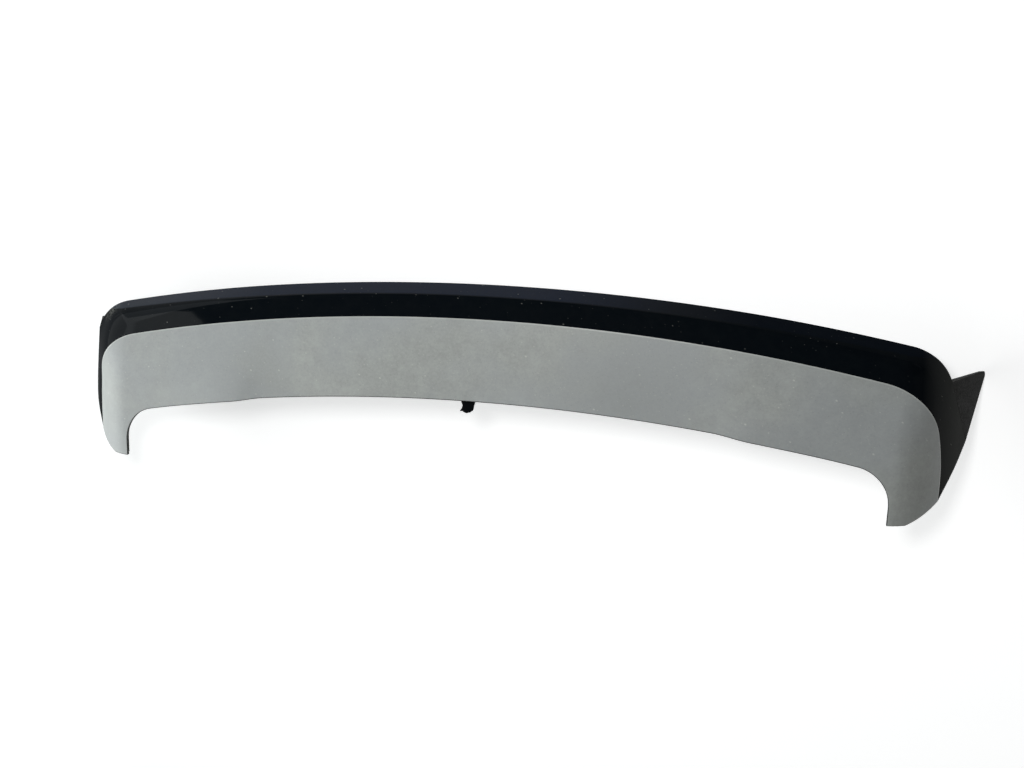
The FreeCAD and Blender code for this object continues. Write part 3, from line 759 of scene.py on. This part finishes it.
class SPOILER_OT_skin(bpy.types.Operator):
    """Models the painted skin with its horns and front return."""

    bl_idname = "spoiler.skin"
    bl_label = "Painted skin"

    def execute(self, context):
        right = spread(0, 1, 70) + spread(1, 2, 18) + spread(2, SIDE_DONE, 14)
        right += spread(SIDE_DONE, TIP_DONE, 3) + spread(TIP_DONE, 3, 8) + [3]
        stations = both_sides(right)
        rows = 16

        def place(station, row):
            rear, front = JOIN.at(abs(station)), front_line(abs(station))
            back = rear - front
            # Inner edge of the painted shade strip along the front
            dark = front + back.normalized() * min(PAINTED_SHADE_LINE, back.length / 3)
            # Inner edge of the painted highlight strip along the rear
            pale = rear - back.normalized() * min(PAINTED_HIGHLIGHT_LINE, back.length / 3)
            point = {0: rear, rows: front}.get(row, pale.lerp(dark, (row - 1) / (rows - 2)))
            point.z = skin_height(point.x, point.y) + swell_height(point.x, point.y)
            return sided(point, station)

        piece = grid_piece("painted_skin", stations, rows, place)
        finish_mesh()
        lines = {row: {plan_spot(place(s, row)) for s in stations} for row in (0, 1, rows - 1, rows)}
        select_edges(piece, lambda one, two: {plan_spot(one), plan_spot(two)} <= lines[rows])
        drop = SKIN_WALL + RETURN_DROP
        bpy.ops.mesh.extrude_edges_move(TRANSFORM_OT_translate={"value": (0, 0, -drop)})
        bpy.ops.object.mode_set(mode="OBJECT")
        finish_mesh()
        dress(piece, grey_paint())
        piece.data.materials.append(painted_edge_shade())
        piece.data.materials.append(painted_edge_highlight())
        # Slot 1 holds the painted shade strip along the front, slot 2 the painted highlight strip along
        # the rear
        strips = {1: lines[rows - 1] | lines[rows], 2: lines[0] | lines[1]}
        for face in piece.data.polygons:
            spots = {plan_spot(piece.data.vertices[i].co) for i in face.vertices}
            face.material_index = next((i for i, strip in strips.items() if spots <= strip), 0)
        apply_modifier(piece, "SOLIDIFY", thickness=SKIN_WALL, offset=-1.0, use_even_offset=True)
        apply_modifier(piece, "BEVEL", width=sizes().skin_edge, segments=3, limit_method="ANGLE",
                       angle_limit=ROUND_ANGLE)
        bpy.ops.object.shade_smooth_by_angle(angle=SHADE_ANGLE)
        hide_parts("upper_skin")
        return {"FINISHED"}


class SPOILER_OT_rim(bpy.types.Operator):
    """Models the gloss black rim: flange, lip, softened crease, rear wall and cheeks."""

    bl_idname = "spoiler.rim"
    bl_label = "Gloss black rim"

    def execute(self, context):
        right = spread(0, 1, 80) + spread(1, 2, 28) + spread(2, 3, 16) + [3]
        stations = both_sides(right)
        cuts = {}
        for station in stations:
            blend = smooth_step((abs(station) - SOFT_START) / SOFT_RUN)
            soft = sizes().crease_soft + (sizes().corner_soft - sizes().crease_soft) * blend
            cut = rim_section(abs(station), soft)
            cuts[station] = [sided(point, station) for point in cut + cut[:1]]
        rows = len(cuts[0]) - 1
        piece = grid_piece("gloss_rim", stations, rows, lambda station, row: cuts[station][row])
        close_ends()
        bpy.ops.object.mode_set(mode="OBJECT")
        finish_mesh()
        apply_modifier(piece, "BEVEL", width=sizes().rim_edge, segments=2, limit_method="ANGLE",
                       angle_limit=ROUND_ANGLE)
        bpy.ops.object.shade_smooth_by_angle(angle=SHADE_ANGLE)
        dress(piece, gloss_black())
        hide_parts("trailing_rim")
        return {"FINISHED"}


def stud_seats():
    """Seats of the studs, in a row that follows the leading edge."""
    inner = min(abs(x) for x in STUD_XS)
    level = math.sqrt(LEAD_RADIUS ** 2 - inner ** 2)
    return [Vector((x, math.sqrt(LEAD_RADIUS ** 2 - x * x) - level, 0)) for x in STUD_XS]


class SPOILER_OT_studs(bpy.types.Operator):
    """Models one threaded stud with its square head and copies it to every seat."""

    bl_idname = "spoiler.studs"
    bl_label = "Threaded studs"

    def execute(self, context):
        pitch = sizes().thread_pitch
        rows_a_turn = 4
        rows = round(STUD_LENGTH / pitch) * rows_a_turn
        turns = spread(0, 1, 24) + [1]

        def place(turn, row):
            height = -STUD_LENGTH * (1 - row / rows)
            wave = abs(((height / pitch + turn) % 1.0) * 2 - 1)
            end = min(1.0, (height + STUD_LENGTH) / STUD_TIP)
            radius = STUD_R - THREAD_DEPTH * pitch * wave - STUD_TIP * (1 - end)
            angle = math.tau * turn
            return Vector((radius * math.cos(angle), radius * math.sin(angle), height))

        stud = grid_piece("stud", turns, rows, place)
        close_ends()
        bpy.ops.mesh.select_all(action="DESELECT")
        bpy.ops.mesh.primitive_cylinder_add(
            vertices=32, radius=STUD_NECK_R, depth=STUD_HEAD_LOW, location=(0, 0, STUD_HEAD_LOW / 2))
        bpy.ops.mesh.primitive_cube_add(size=1.0, location=(0, 0, STUD_HEAD_LOW + STUD_HEAD_WALL / 2))
        bpy.ops.transform.resize(
            value=(STUD_HEAD_WIDTH, STUD_HEAD_WIDTH, STUD_HEAD_WALL),
            center_override=(0, 0, STUD_HEAD_LOW + STUD_HEAD_WALL / 2))
        bpy.ops.mesh.bevel(offset=STUD_HEAD_EDGE, segments=2, affect="EDGES")
        bpy.ops.object.mode_set(mode="OBJECT")
        finish_mesh()
        steel = zinc_steel()
        seats = stud_seats()
        for number, seat in enumerate(seats, 1):
            if number > 1:
                clear_selection()
                stud.select_set(True)
                context.view_layer.objects.active = stud
                bpy.ops.object.duplicate(linked=False)
            copy = context.object
            copy.name = "threaded_stud_%d" % number
            copy.location = seat if number == 1 else seat - seats[0]
            bpy.ops.object.transform_apply(location=True, rotation=False, scale=False)
            dress(copy, steel)
            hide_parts("stud_%d" % number)
        return {"FINISHED"}


class SPOILER_OT_plain(bpy.types.Operator):
    """Gives the solids that stay as they are their finishes and rounded edges."""

    bl_idname = "spoiler.plain"
    bl_label = "Shell, fins and fixings"

    def execute(self, context):
        fins = [name for name in NODES if name.startswith("side_fin")]
        paint_nodes(textured_black(), fins + ["lower_shell"])
        paint_nodes(clip_black(), ["centre_clip"])
        paint_nodes(foam(), [n for n in NODES if "seal" in n or "gasket" in n])
        paint_nodes(zinc_steel(), [n for n in NODES if n.startswith("fin_screw")])
        for name in fins + ["centre_clip"]:
            node = NODES[name]
            weld = node.modifiers.new("merge", "WELD")
            weld.merge_threshold = MERGE
            flat = node.modifiers.new("planes", "DECIMATE")
            flat.decimate_type = "DISSOLVE"
            flat.angle_limit = FLAT_ANGLE
            edge = node.modifiers.new("edges", "BEVEL")
            edge.width = sizes().fin_edge
            edge.segments = 3
            edge.limit_method = "ANGLE"
            edge.angle_limit = FIN_ROUND_ANGLE
        return {"FINISHED"}


def area_light(name, place, aim, width, depth, power, tint):
    """A rectangular lamp that looks at its aim."""
    clear_selection()
    bpy.ops.object.light_add(type="AREA", location=place)
    lamp = bpy.context.object
    lamp.name = name
    lamp.rotation_euler = (Vector(aim) - Vector(place)).to_track_quat("-Z", "Y").to_euler()
    lamp.data.shape = "RECTANGLE"
    lamp.data.size = width
    lamp.data.size_y = depth
    lamp.data.energy = power
    lamp.data.color = tint


class SPOILER_OT_stage(bpy.types.Operator):
    """Sets the pale floor, soft lights, world and camera."""

    bl_idname = "spoiler.stage"
    bl_label = "Stage"

    def execute(self, context):
        scene = context.scene
        scene.view_settings.view_transform = "Standard"
        clear_selection()
        bpy.ops.mesh.primitive_plane_add(size=FLOOR_SIZE, location=(0, 0, CAD_BOX[0][2] - FLOOR_GAP))
        floor = context.object
        floor.name = "floor"
        finish = Finish("floor_white", Roughness=0.9, Specular_IOR_Level=0.1, Base_Color=FLOOR_WHITE)
        seen = finish.node("ShaderNodeLightPath", {}, {}, "Is Camera Ray")
        for ray in ("Is Glossy Ray", "Is Transmission Ray"):
            seen = seen + finish.node("ShaderNodeLightPath", {}, {}, ray)
        glow = finish.node("ShaderNodeClamp", {}, {"Value": seen}, 0)
        level = FLOOR_GLOW
        for low, high, gain in GLOW_GAINS:
            level = level + finish.band("X", low, high) * gain
        finish.feed("Emission Color", finish.mix(glow * level, (0, 0, 0), (1, 1, 1)))
        finish.feed("Emission Strength", 1.0)
        floor.data.materials.append(finish.material)
        world = bpy.data.worlds.new("studio") if scene.world is None else scene.world
        scene.world = world
        world.use_nodes = True
        back = world.node_tree.nodes["Background"]
        back.inputs["Color"].default_value = WORLD_TINT
        back.inputs["Strength"].default_value = WORLD_STRENGTH
        for lamp in LAMPS:
            area_light(*lamp)
        clear_selection()
        bpy.ops.object.camera_add(location=CAMERA_PLACE)
        camera = context.object
        side = CAMERA_FORWARD.cross(CAMERA_UP).normalized()
        turn = Matrix((side, CAMERA_UP.normalized(), -CAMERA_FORWARD.normalized())).transposed()
        camera.rotation_euler = turn.to_euler()
        camera.data.lens = CAMERA_LENS
        camera.data.sensor_width = CAMERA_SENSOR
        camera.data.clip_start = 0.01
        scene.camera = camera
        return {"FINISHED"}


class SPOILER_PT_panel(bpy.types.Panel):
    """Sizes, colours and steps of the spoiler."""

    bl_idname = "SPOILER_PT_panel"
    bl_label = "Rear roof spoiler"
    bl_space_type = "VIEW_3D"
    bl_region_type = "UI"
    bl_category = "Spoiler"

    def draw(self, context):
        for group in (context.scene.spoiler_sizes, context.scene.spoiler_colours):
            for name in group.__annotations__:
                self.layout.prop(group, name)
        for step in OPERATORS:
            self.layout.operator(step.bl_idname)


GROUPS = (SpoilerSizes, SpoilerColours)
OPERATORS = (SPOILER_OT_skin, SPOILER_OT_rim, SPOILER_OT_studs, SPOILER_OT_plain, SPOILER_OT_stage)


def register():
    for kind in GROUPS + OPERATORS + (SPOILER_PT_panel,):
        bpy.utils.register_class(kind)
    bpy.types.Scene.spoiler_sizes = PointerProperty(type=SpoilerSizes)
    bpy.types.Scene.spoiler_colours = PointerProperty(type=SpoilerColours)


def unregister():
    del bpy.types.Scene.spoiler_colours
    del bpy.types.Scene.spoiler_sizes
    for kind in reversed(GROUPS + OPERATORS + (SPOILER_PT_panel,)):
        bpy.utils.unregister_class(kind)


def main():
    register()
    bpy.ops.spoiler.skin()
    bpy.ops.spoiler.rim()
    bpy.ops.spoiler.studs()
    bpy.ops.spoiler.plain()
    bpy.ops.spoiler.stage()


if __name__ == "__main__":
    main()
